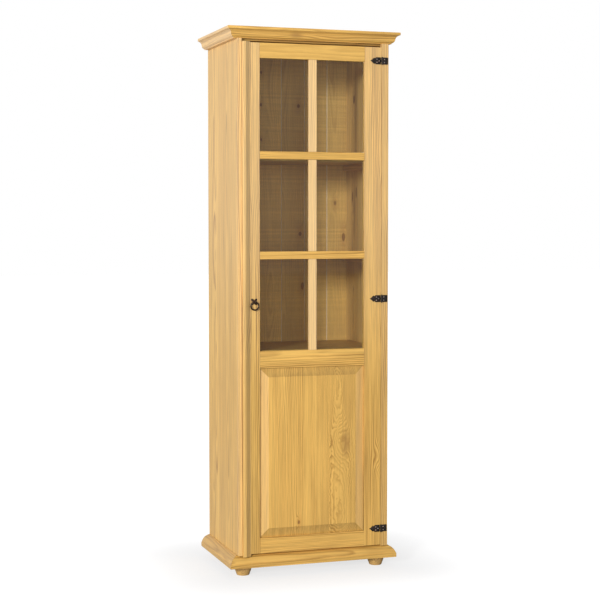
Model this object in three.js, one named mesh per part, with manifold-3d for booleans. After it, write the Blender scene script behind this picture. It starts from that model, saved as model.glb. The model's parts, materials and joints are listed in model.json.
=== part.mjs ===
// Pantry cabinet: a tall, narrow pine cabinet with one door. The door is glazed with six lights
// above and has one raised panel below. It hangs on three surface hinges on its right and opens
// by a ring pull on its left. Millimetres, +Z up, the front faces -Y, the feet stand on z = 0.

import * as THREE from 'three';
import { mergeVertices } from 'three/addons/utils/BufferGeometryUtils.js';
import Module from 'manifold-3d';

const wasm = await Module();
wasm.setup();

// ---- Driving sizes: carcase ----
const HEIGHT = 2000;            // floor to the top of the cornice
const WIDTH = 584;              // over the two side panels
const CARCASE_DEPTH = 388;      // side panels, front edge to back edge
const BOARD = 20;               // sides, top, bottom and shelves
const BACK_BOARD = 12;          // tongued and grooved boards of the back
const BACK_INSET = 1;           // back boards lie this far inside the side panels' back edges
const BACK_REBATE = 12;         // how far the back boards run into each side panel
const BACK_BOARDS = 6;
const TONGUE = 6;               // how far a back board's tongue stands out
const TONGUE_THICK = 4;
const V_JOINT = 2;              // chamfer along each back board's front edges
const COVER = 10;               // thin board that closes the cornice
const TOP_REVEAL = 7.3;         // top board's edge seen below the cornice
const FRONT_STRIP_LEFT = 15.7;  // upright strips on the side panels' front edges
const FRONT_STRIP_RIGHT = 26.5;

// ---- Driving sizes: mouldings and feet ----
const CROWN_H = 41;
const CROWN_OUT = 40;           // projection at the top
const CROWN_FOOT = 14;          // projection at the bottom
const CROWN_FILLET = 10;        // plain upright band at the top
const PLINTH_H = 44;
const PLINTH_OUT = 33;
const PLINTH_FILLET = 16;       // plain upright band at the bottom
const PLINTH_UNDER = 64;        // how far the plinth bars run under the carcase
const FOOT_H = 35;
const FOOT_R_TOP = 32;
const FOOT_R_BOTTOM = 23;
const FOOT_IN_X = 30;           // foot centre, from the side panel's outer face
const FOOT_IN_FRONT = 25;       // foot centre, from the carcase's front
const FOOT_IN_BACK = 36;        // foot centre, from the carcase's back

// ---- Driving sizes: door ----
const DOOR_T = 19.4;
const DOOR_BEHIND = 0.6;        // air between the shut door and the boards behind it
const DOOR_GAP_LEFT = 0.8;
const DOOR_GAP_RIGHT = 1;
const DOOR_GAP_TOP = 6.5;
const DOOR_GAP_BOTTOM = 4;
const STILE_W = 66.5;
const TOP_RAIL = 54.5;
const MIDDLE_RAIL = 62;
const BOTTOM_RAIL = 57.5;
const MIDDLE_RAIL_Z = 765.5;    // underside of the middle rail
const MUNTIN_W = 30;            // upright glazing bar
const MUNTIN_H = 28;            // level glazing bars
const LIGHT_ROWS = 3;
const LIP = 11;                 // wood in front of the glass
const GLASS_T = 4;
const GLASS_REBATE = 9;
const GROOVE = 8;               // how deep the panel sits in the frame
const PANEL_EDGE = 6;           // panel's thickness in the groove
const PANEL_BACK = 5.2;         // panel's back, in front of the door's back
const PANEL_RAISE = 7;          // field in front of the panel's edge
const PANEL_STEP = 0.8;         // small square step round the field
const PANEL_BEVEL = 33;
const TENON = 42;               // how far each rail's tenon enters the stile
const TENON_SHOULDER = 2;       // between a tenon and the nearest rebate or groove
const TENON_EDGE = 6;           // between a tenon and the door's top or bottom
const STRIP_W = 31;             // moulded closing strip on the opening stile
const STRIP_OUT = 9;
const STRIP_ABOVE = 2.3;        // closing strip past the door's top
const STRIP_BELOW = 8;          // closing strip past the door's bottom

// ---- Driving sizes: shelves, catch, hinges and pull ----
const SHELF_DROPS = [0, 5];     // each loose shelf's underside below its glazing bar's underside
const HOUSING = 6;              // how deep the fixed boards sit in the side panels
const SHELF_SETBACK = 4;        // shelves' front edges behind the carcase's front
const MIDDLE_SHELF_UP = 1.5;    // middle shelf's top above the middle rail's top
const CLEAT_W = 14;
const CLEAT_H = 20;
const CATCH = { w: 45, d: 14, h: 14, x: 28, gap: 1.2 };
const STRIKE = { w: 34, t: 0.8, h: 10 };
const HINGE = { h: 26, leaf: 1.8, r: 4, bore: 1.65, pin: 1.6, clear: 0.4, head: 2.6, headT: 1.4 };
const HINGE_FRAME_W = 24;       // frame leaf, from the hinge's axis
const HINGE_BODY_W = 24.5;      // door leaf's plain part, from the hinge's axis
const HINGE_TIP_W = 44;         // door leaf's point, from the hinge's axis
const NAIL = { r: 1.9, out: 1 };
const FRAME_NAILS = [[10, 6], [10, -6]];         // from the hinge's axis, and up from its middle
const DOOR_NAILS = [[20, 6], [20, -6], [11, 0]];
const HINGE_IN = [63.4, 50.2];                   // lowest and highest hinge, in from the door's ends
const RING_R = 14.7;
const RING_WIRE = 2.8;
const PULL_X = 61;              // from the left side panel's outer face
const PULL_Z = 1009;            // ring's pivot
const LOBE = { x: 7.8, z: 7.2, r: 4.9 };         // four lobes of the pull's plate
const PULL_OUT = 8.6;           // ring's pivot in front of the door
const PLATE_T = 2.4;
const EYE_R = 5.4;
const EYE_WIRE = 1.9;
const SHANK_R = 2.2;

// ---- Clearances ----
const JOINT = 0.2;              // glue line between fixed pieces
const SLOT = 0.3;               // air round a piece in a groove or hole

// ---- Levels and planes ----
const xLeft = -WIDTH / 2;
const xRight = WIDTH / 2;
const yBack = (CARCASE_DEPTH + CROWN_OUT) / 2;
const yBox = yBack - CARCASE_DEPTH;
const yDoorBack = yBox - DOOR_BEHIND;
const yFace = yDoorBack - DOOR_T;
const yLining = yBack - BACK_INSET - BACK_BOARD;
const zFloor = FOOT_H + PLINTH_H;
const zCrown = HEIGHT - CROWN_H;
const zCeiling = zCrown - TOP_REVEAL;
const zCover = HEIGHT - COVER;
const doorLeft = xLeft + FRONT_STRIP_LEFT + DOOR_GAP_LEFT;
const doorRight = xRight - FRONT_STRIP_RIGHT - DOOR_GAP_RIGHT;
const doorBottom = zFloor + DOOR_GAP_BOTTOM;
const doorTop = zCeiling - DOOR_GAP_TOP;
const lightLeft = doorLeft + STILE_W;
const lightRight = doorRight - STILE_W;
const lightBottom = MIDDLE_RAIL_Z + MIDDLE_RAIL;
const lightTop = doorTop - TOP_RAIL;
const panelBottom = doorBottom + BOTTOM_RAIL;
const lightH = (lightTop - lightBottom - (LIGHT_ROWS - 1) * MUNTIN_H) / LIGHT_ROWS;
const muntinZ = [1, 2].map((row) => lightBottom + row * lightH + (row - 1) * MUNTIN_H);
const muntinMid = (lightLeft + lightRight) / 2;
const yGlass = yFace + LIP + JOINT;
const yBead = yGlass + GLASS_T + JOINT;
const hingeX = doorRight + DOOR_GAP_RIGHT / 2;
const hingeY = yFace - JOINT - HINGE.r;
const hingeZ = [doorBottom + HINGE_IN[0], (doorBottom + doorTop) / 2 - 1.1, doorTop - HINGE_IN[1]];
const pullX = xLeft + PULL_X;
const pullY = yFace - PULL_OUT;

// ---- Materials ----
const wood = (color) => new THREE.MeshStandardMaterial({ color, roughness: 0.55, metalness: 0 });
const PINE = wood(0xdcae6a);
const PINE_PALE = wood(0xe2bb7e);
const PINE_DEEP = wood(0xcf9c54);
const PINE_INSIDE = wood(0xb08a5c);
const GLASS = new THREE.MeshStandardMaterial({
  color: 0xdfe8e6, roughness: 0.05, metalness: 0, transparent: true, opacity: 0.25,
});
const IRON = new THREE.MeshStandardMaterial({ color: 0x26221f, roughness: 0.6, metalness: 0.8 });
const STEEL = new THREE.MeshStandardMaterial({ color: 0x9a9a98, roughness: 0.35, metalness: 0.9 });
const PLASTIC = new THREE.MeshStandardMaterial({ color: 0x6b4a2c, roughness: 0.6, metalness: 0 });

const cabinet = new THREE.Group();

function add(name, geometry, material) {
  const mesh = new THREE.Mesh(geometry, material);
  mesh.name = name;
  cabinet.add(mesh);
  return mesh;
}

// ---- Shape helpers ----

// A box between two corners.
function box(x0, x1, y0, y1, z0, z1) {
  const geometry = new THREE.BoxGeometry(x1 - x0, y1 - y0, z1 - z0);
  return geometry.translate((x0 + x1) / 2, (y0 + y1) / 2, (z0 + z1) / 2);
}

const X = new THREE.Vector3(1, 0, 0);
const Y = new THREE.Vector3(0, 1, 0);
const Z = new THREE.Vector3(0, 0, 1);
const SWEEPS = {
  x: { turn: new THREE.Matrix4().makeBasis(Y, Z, X), plan: ([y, z]) => [y, z] },
  y: { turn: new THREE.Matrix4().makeBasis(Z, X, Y), plan: ([x, z]) => [z, x] },
  z: { turn: new THREE.Matrix4(), plan: ([x, y]) => [x, y] },
};

// An outline swept along one axis. The outline is in the other two axes, in X, Y, Z order.
function sweep(axis, outline, from, to) {
  const { turn, plan } = SWEEPS[axis];
  const shape = new THREE.Shape(outline.map((point) => new THREE.Vector2(...plan(point))));
  const geometry = new THREE.ExtrudeGeometry(shape, { depth: to - from, bevelEnabled: false });
  return geometry.translate(0, 0, from).applyMatrix4(turn);
}

// A moulding bar whose ends are mitred. The profile is in (out, up); the bar runs along `run`,
// and each end moves by its mitre times the distance out: 1 and -1 are 45 degree corners.
function mouldingBar(profile, origin, out, run, length, mitreStart, mitreEnd) {
  const place = (s, z, t) =>
    origin.clone().addScaledVector(out, s).addScaledVector(run, t).setZ(origin.z + z);
  const starts = profile.map(([s, z]) => place(s, z, -s * mitreStart));
  const ends = profile.map(([s, z]) => place(s, z, length + s * mitreEnd));
  const points = [...starts, ...ends];
  const count = profile.length;
  const caps = THREE.ShapeUtils.triangulateShape(profile.map(([s, z]) => new THREE.Vector2(s, z)), []);
  const index = [];
  for (const [a, b, c] of caps) {
    index.push(a, c, b, count + a, count + b, count + c);
  }
  for (let i = 0; i < count; i += 1) {
    const j = (i + 1) % count;
    index.push(i, j, count + j, i, count + j, count + i);
  }
  const geometry = new THREE.BufferGeometry();
  geometry.setAttribute('position', new THREE.Float32BufferAttribute(points.flatMap((p) => p.toArray()), 3));
  geometry.setIndex(index);
  return facingOut(geometry);
}

// Turns every face over when the closed surface encloses a negative volume.
function facingOut(geometry) {
  const p = geometry.attributes.position;
  const index = geometry.index.array;
  const corner = (i) => new THREE.Vector3().fromBufferAttribute(p, index[i]);
  let volume = 0;
  for (let i = 0; i < index.length; i += 3) {
    volume += corner(i).dot(corner(i + 1).cross(corner(i + 2)));
  }
  if (volume < 0) {
    for (let i = 0; i < index.length; i += 3) {
      [index[i + 1], index[i + 2]] = [index[i + 2], index[i + 1]];
    }
  }
  return geometry;
}

// Points along a curve with one control point, the first point left out.
function curve(from, control, to, steps) {
  return Array.from({ length: steps }, (_, i) => {
    const t = (i + 1) / steps;
    const a = (1 - t) * (1 - t);
    const b = 2 * t * (1 - t);
    return [a * from[0] + b * control[0] + t * t * to[0], a * from[1] + b * control[1] + t * t * to[1]];
  });
}

function solid(geometry) {
  const bare = geometry.clone();
  bare.deleteAttribute('normal');
  bare.deleteAttribute('uv');
  const merged = mergeVertices(bare, 1e-4);
  return new wasm.Manifold(new wasm.Mesh({
    numProp: 3,
    vertProperties: new Float32Array(merged.attributes.position.array),
    triVerts: new Uint32Array(merged.index.array),
  }));
}

function geometryOf(manifold) {
  const mesh = manifold.getMesh();
  const geometry = new THREE.BufferGeometry();
  geometry.setAttribute('position', new THREE.Float32BufferAttribute(mesh.vertProperties, 3));
  geometry.setIndex([...mesh.triVerts]);
  return geometry;
}

function cut(base, ...tools) {
  return geometryOf(tools.reduce((left, tool) => left.subtract(solid(tool)), solid(base)));
}

function join(...parts) {
  return geometryOf(parts.slice(1).reduce((left, part) => left.add(solid(part)), solid(parts[0])));
}

// A round bar along Y or Z.
function round(axis, radius, at, from, to, sides = 16) {
  const geometry = new THREE.CylinderGeometry(radius, radius, to - from, sides);
  if (axis === 'z') geometry.rotateX(Math.PI / 2);
  const middle = (from + to) / 2;
  return axis === 'z' ? geometry.translate(at[0], at[1], middle) : geometry.translate(at[0], middle, at[1]);
}

// ---- Carcase ----

// Level boards housed in the side panels: the name and the underside of each.
const HOUSED = {
  bottom_board: zFloor + JOINT,
  shelf_middle: lightBottom + MIDDLE_SHELF_UP - BOARD,
  top_board: zCeiling,
};

function sidePanels() {
  const deep = BACK_REBATE - JOINT;
  const outline = (outer, inward) => [
    [outer, yBox], [outer + inward * BOARD, yBox], [outer + inward * BOARD, yLining - JOINT],
    [outer + inward * (BOARD - deep), yLining - JOINT], [outer + inward * (BOARD - deep), yBack],
    [outer, yBack],
  ];
  const panels = [['side_left', xLeft, 1, PINE_PALE], ['side_right', xRight, -1, PINE]];
  for (const [name, x, inward, material] of panels) {
    const inner = x + inward * (BOARD + 1);
    const seat = x + inward * (BOARD - HOUSING - JOINT);
    const housings = Object.values(HOUSED).map((z) => box(
      Math.min(inner, seat), Math.max(inner, seat), yBox - 1, yBack + 1, z - JOINT, z + BOARD + JOINT,
    ));
    add(name, cut(sweep('z', outline(x, inward), zFloor + JOINT, zCover - JOINT), ...housings), material);
  }
}

function frontStrips() {
  const [low, high] = [zFloor + JOINT, zCrown - JOINT];
  add('front_strip_left', box(xLeft, xLeft + FRONT_STRIP_LEFT, yFace, yBox - JOINT, low, high), PINE_PALE);
  add('front_strip_right', box(xRight - FRONT_STRIP_RIGHT, xRight, yFace, yBox - JOINT, low, high), PINE);
}

function boardAcross(name, z, front, housed) {
  const x = WIDTH / 2 - BOARD + (housed ? HOUSING : -JOINT);
  add(name, box(-x, x, yBox + front, yLining - JOINT, z, z + BOARD), PINE_INSIDE);
}

function carcaseBoards() {
  for (const [name, z] of Object.entries(HOUSED)) {
    boardAcross(name, z, name === 'shelf_middle' ? SHELF_SETBACK : 0, true);
  }
  boardAcross('shelf_lower', muntinZ[0] - SHELF_DROPS[0], SHELF_SETBACK, false);
  boardAcross('shelf_upper', muntinZ[1] - SHELF_DROPS[1], SHELF_SETBACK, false);
  add('cornice_cover', box(xLeft, xRight, yBox, yBack, zCover, HEIGHT), PINE_INSIDE);
}

function shelfCleats() {
  const [front, back] = [yBox + SHELF_SETBACK, yLining - JOINT];
  const inner = BOARD + JOINT;
  for (const [i, place] of ['lower', 'upper'].entries()) {
    const top = muntinZ[i] - SHELF_DROPS[i] - JOINT;
    const left = box(xLeft + inner, xLeft + inner + CLEAT_W, front, back, top - CLEAT_H, top);
    const right = box(xRight - inner - CLEAT_W, xRight - inner, front, back, top - CLEAT_H, top);
    add(`cleat_${place}_left`, left, PINE_INSIDE);
    add(`cleat_${place}_right`, right, PINE_INSIDE);
  }
}

// Upright boards, each with a tongue on its right edge that enters a groove in the next.
function backBoards() {
  const left = xLeft + BOARD - BACK_REBATE + JOINT;
  const right = xRight - BOARD + BACK_REBATE - JOINT;
  const pitch = (right - left) / BACK_BOARDS;
  const front = yLining;
  const back = yLining + BACK_BOARD;
  const tongueFront = front + (BACK_BOARD - TONGUE_THICK) / 2;
  const tongueBack = tongueFront + TONGUE_THICK;
  for (let i = 0; i < BACK_BOARDS; i += 1) {
    const x0 = left + i * pitch + (i > 0 ? JOINT / 2 : 0);
    const x1 = left + (i + 1) * pitch - (i < BACK_BOARDS - 1 ? JOINT / 2 : 0);
    const v0 = i > 0 ? V_JOINT : 0;
    const v1 = i < BACK_BOARDS - 1 ? V_JOINT : 0;
    const outline = v0 ? [[x0, front + v0], [x0 + v0, front]] : [[x0, front]];
    outline.push(...(v1 ? [[x1 - v1, front], [x1, front + v1]] : [[x1, front]]));
    if (i < BACK_BOARDS - 1) {
      outline.push(
        [x1, tongueFront], [x1 + TONGUE, tongueFront], [x1 + TONGUE, tongueBack], [x1, tongueBack],
      );
    }
    outline.push([x1, back], [x0, back]);
    if (i > 0) {
      const deep = x0 + TONGUE + SLOT;
      outline.push([x0, tongueBack + SLOT], [deep, tongueBack + SLOT]);
      outline.push([deep, tongueFront - SLOT], [x0, tongueFront - SLOT]);
    }
    add(`back_board_${i + 1}`, sweep('z', outline, zFloor + JOINT, zCover - JOINT), PINE_INSIDE);
  }
}

// ---- Mouldings and feet ----

// Cornice, from its foot up: small fillet, cyma recta, step, plain band.
function crownProfile() {
  const [x0, x1] = [CROWN_FOOT, CROWN_OUT - 4];
  const [z0, z1] = [2.5, CROWN_H - CROWN_FILLET - 1];
  const middle = [(x0 + x1) / 2, (z0 + z1) / 2];
  return [
    [JOINT, 0], [x0, 0], [x0, z0],
    ...curve([x0, z0], [x0 + (x1 - x0) * 0.32, z0 + (z1 - z0) * 0.16], middle, 4),
    ...curve(middle, [x0 + (x1 - x0) * 0.7, z0 + (z1 - z0) * 0.86], [x1, z1], 4),
    [x1, z1 + 1], [CROWN_OUT, z1 + 1], [CROWN_OUT, CROWN_H], [JOINT, CROWN_H],
  ];
}

// Plinth, from the floor side up: plain band, small step, ovolo, flat top under the carcase.
function plinthProfile() {
  const foot = [PLINTH_OUT - 2, PLINTH_FILLET + 2];
  const top = [3, PLINTH_H];
  const bulge = [top[0] + (foot[0] - top[0]) * 0.75, foot[1] + (top[1] - foot[1]) * 0.78];
  return [
    [-PLINTH_UNDER, 0], [PLINTH_OUT, 0], [PLINTH_OUT, PLINTH_FILLET], [foot[0], PLINTH_FILLET + 0.6],
    foot, ...curve(foot, bulge, top, 8), [-PLINTH_UNDER, PLINTH_H],
  ];
}

function mouldingFrame(prefix, profile, z) {
  const front = new THREE.Vector3(0, -1, 0);
  const left = new THREE.Vector3(-1, 0, 0);
  const right = new THREE.Vector3(1, 0, 0);
  const gap = JOINT / 2;
  const corner = new THREE.Vector3(xLeft + gap, yBox, z);
  const across = mouldingBar(profile, corner, front, X, WIDTH - 2 * gap, 1, 1);
  const start = new THREE.Vector3(xLeft, yBox + gap, z);
  const length = CARCASE_DEPTH - gap;
  add(`${prefix}_front`, across, PINE);
  add(`${prefix}_left`, mouldingBar(profile, start, left, Y, length, 1, 0), PINE_PALE);
  add(`${prefix}_right`, mouldingBar(profile, start.clone().setX(xRight), right, Y, length, 1, 0), PINE_DEEP);
}

function plinthBack() {
  const x = PLINTH_UNDER + JOINT;
  add('plinth_back', box(xLeft + x, xRight - x, yBack - PLINTH_UNDER, yBack, FOOT_H, zFloor), PINE_DEEP);
}

// Turned bun feet: a closed lathe profile, widest near the top.
function feet() {
  const rows = [[0, 0], [0.08, 0.1], [0.42, 0.3], [0.74, 0.5], [0.93, 0.68], [1, 0.86], [0.98, 1]];
  const spread = FOOT_R_TOP - FOOT_R_BOTTOM;
  const top = FOOT_H - JOINT;
  const profile = rows.map(([out, up]) => new THREE.Vector2(FOOT_R_BOTTOM + spread * out, top * up));
  const outline = [new THREE.Vector2(0, 0), ...profile, new THREE.Vector2(0, top)];
  const places = {
    front_left: [xLeft + FOOT_IN_X, yBox + FOOT_IN_FRONT],
    front_right: [xRight - FOOT_IN_X, yBox + FOOT_IN_FRONT],
    back_left: [xLeft + FOOT_IN_X, yBack - FOOT_IN_BACK],
    back_right: [xRight - FOOT_IN_X, yBack - FOOT_IN_BACK],
  };
  for (const [place, [x, y]] of Object.entries(places)) {
    const geometry = new THREE.LatheGeometry(outline, 24).rotateX(Math.PI / 2).translate(x, y, 0);
    add(`foot_${place}`, geometry, PINE);
  }
}

// ---- Door ----

// Stiles run the full height. The glass rebate is at the back, the panel groove in the inner edge.
function stiles() {
  const grooveY = [yPanelFront() - SLOT, yPanelFront() + PANEL_EDGE + SLOT];
  const rebateZ = [lightBottom - GLASS_REBATE, lightTop + GLASS_REBATE];
  const grooveZ = [panelBottom - GROOVE, MIDDLE_RAIL_Z + GROOVE];
  const rebate = (x0, x1) => box(x0, x1, yFace + LIP, yDoorBack + 1, ...rebateZ);
  const groove = (x0, x1) => box(x0, x1, ...grooveY, ...grooveZ);
  const mortises = (x0, x1) => Object.values(tenons()).map(([low, high]) => (
    box(x0, x1, ...grooveY, low - SLOT, high + SLOT)
  ));
  const deep = TENON + SLOT;
  const left = cut(
    box(doorLeft, lightLeft, yFace, yDoorBack, doorBottom, doorTop),
    ...mortises(lightLeft - deep, lightLeft + 1),
    rebate(lightLeft - GLASS_REBATE, lightLeft + 1),
    groove(lightLeft - GROOVE, lightLeft + 1),
    round('y', SHANK_R + SLOT, [pullX, PULL_Z], yFace - 1, yDoorBack + 1),
  );
  const right = cut(
    box(lightRight, doorRight, yFace, yDoorBack, doorBottom, doorTop),
    ...mortises(lightRight - 1, lightRight + deep),
    rebate(lightRight - 1, lightRight + GLASS_REBATE),
    groove(lightRight - 1, lightRight + GROOVE),
  );
  add('stile_left', left, PINE);
  add('stile_right', right, PINE);
}

function yPanelFront() {
  return yDoorBack - PANEL_BACK - PANEL_EDGE;
}

// The height of each rail's tenon, clear of the glass rebate and the panel groove.
function tenons() {
  return {
    rail_bottom: [doorBottom + TENON_EDGE, panelBottom - GROOVE - TENON_SHOULDER],
    rail_middle: [MIDDLE_RAIL_Z + GROOVE + TENON_SHOULDER, lightBottom - GLASS_REBATE - TENON_SHOULDER],
    rail_top: [lightTop + GLASS_REBATE + TENON_SHOULDER, doorTop - TENON_EDGE],
  };
}

function rails() {
  const [x0, x1] = [lightLeft + JOINT, lightRight - JOINT];
  const g0 = yPanelFront() - SLOT;
  const g1 = g0 + PANEL_EDGE + 2 * SLOT;
  const lip = yFace + LIP;
  const top = [
    [yFace, lightTop], [lip, lightTop], [lip, lightTop + GLASS_REBATE],
    [yDoorBack, lightTop + GLASS_REBATE], [yDoorBack, doorTop], [yFace, doorTop],
  ];
  const z0 = MIDDLE_RAIL_Z;
  const middle = [
    [yFace, z0], [g0, z0], [g0, z0 + GROOVE], [g1, z0 + GROOVE], [g1, z0], [yDoorBack, z0],
    [yDoorBack, lightBottom - GLASS_REBATE], [lip, lightBottom - GLASS_REBATE], [lip, lightBottom],
    [yFace, lightBottom],
  ];
  const bottom = [
    [yFace, doorBottom], [yDoorBack, doorBottom], [yDoorBack, panelBottom], [g1, panelBottom],
    [g1, panelBottom - GROOVE], [g0, panelBottom - GROOVE], [g0, panelBottom], [yFace, panelBottom],
  ];
  for (const [name, outline] of Object.entries({ rail_top: top, rail_middle: middle, rail_bottom: bottom })) {
    const span = tenons()[name];
    const y = [yPanelFront(), yPanelFront() + PANEL_EDGE];
    const left = box(lightLeft - TENON, x0 + 1, ...y, ...span);
    const right = box(x1 - 1, lightRight + TENON, ...y, ...span);
    add(name, join(sweep('x', outline, x0, x1), left, right), PINE);
  }
}

// Glazing bars halved over each other: the level bars keep the front half at each crossing.
function muntins() {
  const half = yFace + LIP / 2;
  const back = yFace + LIP;
  const [z0, z1] = [lightBottom + JOINT, lightTop - JOINT];
  const upright = [[yFace, z0]];
  for (const z of muntinZ) {
    const [low, high] = [z - JOINT, z + MUNTIN_H + JOINT];
    upright.push([yFace, low], [half + JOINT, low], [half + JOINT, high], [yFace, high]);
  }
  upright.push([yFace, z1], [back, z1], [back, z0]);
  const [m0, m1] = [muntinMid - MUNTIN_W / 2, muntinMid + MUNTIN_W / 2];
  add('muntin_upright', sweep('x', upright, m0, m1), PINE_PALE);
  const [x0, x1] = [lightLeft + JOINT, lightRight - JOINT];
  const level = [
    [x0, yFace], [x1, yFace], [x1, back], [m1 + JOINT, back], [m1 + JOINT, half],
    [m0 - JOINT, half], [m0 - JOINT, back], [x0, back],
  ];
  add('muntin_lower', sweep('z', level, muntinZ[0], muntinZ[0] + MUNTIN_H), PINE);
  add('muntin_upper', sweep('z', level, muntinZ[1], muntinZ[1] + MUNTIN_H), PINE);
}

// One sheet of glass in the rebate behind the bars, held by four beads.
function glazing() {
  const reach = GLASS_REBATE - SLOT;
  const [x0, x1] = [lightLeft - reach, lightRight + reach];
  const [z0, z1] = [lightBottom - reach, lightTop + reach];
  add('glass', box(x0, x1, yGlass, yGlass + GLASS_T, z0, z1), GLASS);
  const wide = reach + 1;
  const section = (from, inward) => [
    [from, yBead], [from + inward * wide, yBead], [from + inward * wide, yBead + 1], [from, yDoorBack],
  ];
  const zs = [z0 + wide + JOINT, z1 - wide - JOINT];
  add('bead_left', sweep('z', section(x0, 1), ...zs), PINE_INSIDE);
  add('bead_right', sweep('z', section(x1, -1), ...zs), PINE_INSIDE);
  const flat = (from, up) => [
    [yBead, from], [yBead, from + up * wide], [yBead + 1, from + up * wide], [yDoorBack, from],
  ];
  add('bead_bottom', sweep('x', flat(z0, 1), x0, x1), PINE_INSIDE);
  add('bead_top', sweep('x', flat(z1, -1), x0, x1), PINE_INSIDE);
}

// Raised and fielded panel: a thin edge in the groove, a bevel up to a small step, a flat field.
function panel() {
  const reach = GROOVE - SLOT;
  const y = yPanelFront();
  const rings = [
    { inset: -reach, y: y + PANEL_EDGE },
    { inset: -reach, y },
    { inset: 0, y },
    { inset: PANEL_BEVEL, y: y - PANEL_RAISE + PANEL_STEP },
    { inset: PANEL_BEVEL, y: y - PANEL_RAISE },
  ];
  const corners = rings.flatMap(({ inset, y: depth }) => {
    const [a, b] = [lightLeft + inset, lightRight - inset];
    const [c, d] = [panelBottom + inset, MIDDLE_RAIL_Z - inset];
    return [[a, depth, c], [b, depth, c], [b, depth, d], [a, depth, d]];
  });
  const index = [0, 1, 2, 0, 2, 3];
  const last = 4 * (rings.length - 1);
  index.push(last, last + 2, last + 1, last, last + 3, last + 2);
  for (let ring = 0; ring < rings.length - 1; ring += 1) {
    for (let i = 0; i < 4; i += 1) {
      const [a, b] = [4 * ring + i, 4 * ring + ((i + 1) % 4)];
      index.push(a, b + 4, b, a, a + 4, b + 4);
    }
  }
  const geometry = new THREE.BufferGeometry();
  geometry.setAttribute('position', new THREE.Float32BufferAttribute(corners.flat(), 3));
  geometry.setIndex(index);
  add('panel', facingOut(geometry), PINE);
}

// Closing strip: a flat fillet, then a slightly rounded slope that falls towards the stile.
function closingStrip() {
  const y = yFace - JOINT;
  const rows = [
    [0, 0], [0, 0.92], [0.8, 1], [12.8, 1], [13.6, 0.9], [17.5, 0.74], [21.5, 0.56],
    [25, 0.36], [28.4, 0.15], [28.8, 0.12], [STRIP_W, 0.12], [STRIP_W, 0],
  ];
  const outline = rows.map(([x, out]) => [doorLeft + x, y - out * STRIP_OUT]);
  add('closing_strip', sweep('z', outline, doorBottom - STRIP_BELOW, doorTop + STRIP_ABOVE), PINE_PALE);
}

// ---- Catch ----

// A magnet under the middle shelf and a steel strike on the back of the opening stile.
function catchPair() {
  const x0 = xLeft + CATCH.x;
  const yFront = Math.max(yDoorBack + STRIKE.t + JOINT + CATCH.gap, yBox + SHELF_SETBACK);
  const z0 = HOUSED.shelf_middle - JOINT - CATCH.h;
  add('catch_magnet', box(x0, x0 + CATCH.w, yFront, yFront + CATCH.d, z0, z0 + CATCH.h), PLASTIC);
  const middle = x0 + CATCH.w / 2;
  const z = z0 + CATCH.h / 2;
  const strike = box(
    middle - STRIKE.w / 2, middle + STRIKE.w / 2, yDoorBack + JOINT, yDoorBack + JOINT + STRIKE.t,
    z - STRIKE.h / 2, z + STRIKE.h / 2,
  );
  add('catch_strike', strike, STEEL);
}

// ---- Hinges ----

// Three knuckles share the hinge's height; the middle one belongs to the door leaf.
function knuckleSpans(z) {
  const third = HINGE.h / 3;
  const [low, high] = [z - HINGE.h / 2, z + HINGE.h / 2];
  return {
    bottom: [low, low + third - HINGE.clear / 2],
    middle: [low + third + HINGE.clear / 2, high - third - HINGE.clear / 2],
    top: [high - third + HINGE.clear / 2, high],
  };
}

function knuckle([from, to]) {
  return round('z', HINGE.r, [hingeX, hingeY], from, to);
}

function hingeLeaves() {
  const [front, back] = [yFace - JOINT - HINGE.leaf, yFace - JOINT];
  const clear = HINGE.r + 0.6;
  ['bottom', 'middle', 'top'].forEach((place, i) => {
    const z = hingeZ[i];
    const half = HINGE.h / 2;
    const spans = knuckleSpans(z);
    const bore = round('z', HINGE.bore, [hingeX, hingeY], z - half - 1, z + half + 1);
    const nails = (list, side) => list.map(([out, up]) => (
      round('y', NAIL.r, [hingeX + side * out, z + up], front - NAIL.out, back - HINGE.leaf / 2, 8)
    ));
    const tab = (span, side) => box(
      ...(side > 0 ? [hingeX, hingeX + clear + 1] : [hingeX - clear - 1, hingeX]), front, back, ...span,
    );
    const frameLeaf = join(
      box(hingeX + clear, hingeX + HINGE_FRAME_W, front, back, z - half, z + half),
      tab(spans.bottom, 1), tab(spans.top, 1), knuckle(spans.bottom), knuckle(spans.top),
      ...nails(FRAME_NAILS, 1),
    );
    add(`hinge_${place}_frame_leaf`, cut(frameLeaf, bore), IRON);
    const at = (out, up) => [hingeX - out, z + up * half];
    const neck = HINGE_BODY_W + 3;
    const barb = HINGE_BODY_W + 6.5;
    const outline = [
      at(clear, -1), at(HINGE_BODY_W - 1.5, -1), at(HINGE_BODY_W, -0.85), at(neck, -0.45), at(barb, -0.92),
      at(barb + 5, -0.52), at(HINGE_TIP_W, 0), at(barb + 5, 0.52), at(barb, 0.92), at(neck, 0.45),
      at(HINGE_BODY_W, 0.85), at(HINGE_BODY_W - 1.5, 1), at(clear, 1),
    ];
    const doorLeaf = join(
      sweep('y', outline, front, back), tab(spans.middle, -1), knuckle(spans.middle),
      ...nails(DOOR_NAILS, -1),
    );
    add(`hinge_${place}_door_leaf`, cut(doorLeaf, bore), IRON);
    const end = (from, to) => round('z', HINGE.head, [hingeX, hingeY], from, to);
    const pin = join(
      round('z', HINGE.pin, [hingeX, hingeY], z - half - JOINT - 0.1, z + half + JOINT + 0.1),
      end(z - half - JOINT - HINGE.headT, z - half - JOINT),
      end(z + half + JOINT, z + half + JOINT + HINGE.headT),
    );
    add(`hinge_${place}_pin`, pin, IRON);
  });
}

// ---- Ring pull ----

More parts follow.
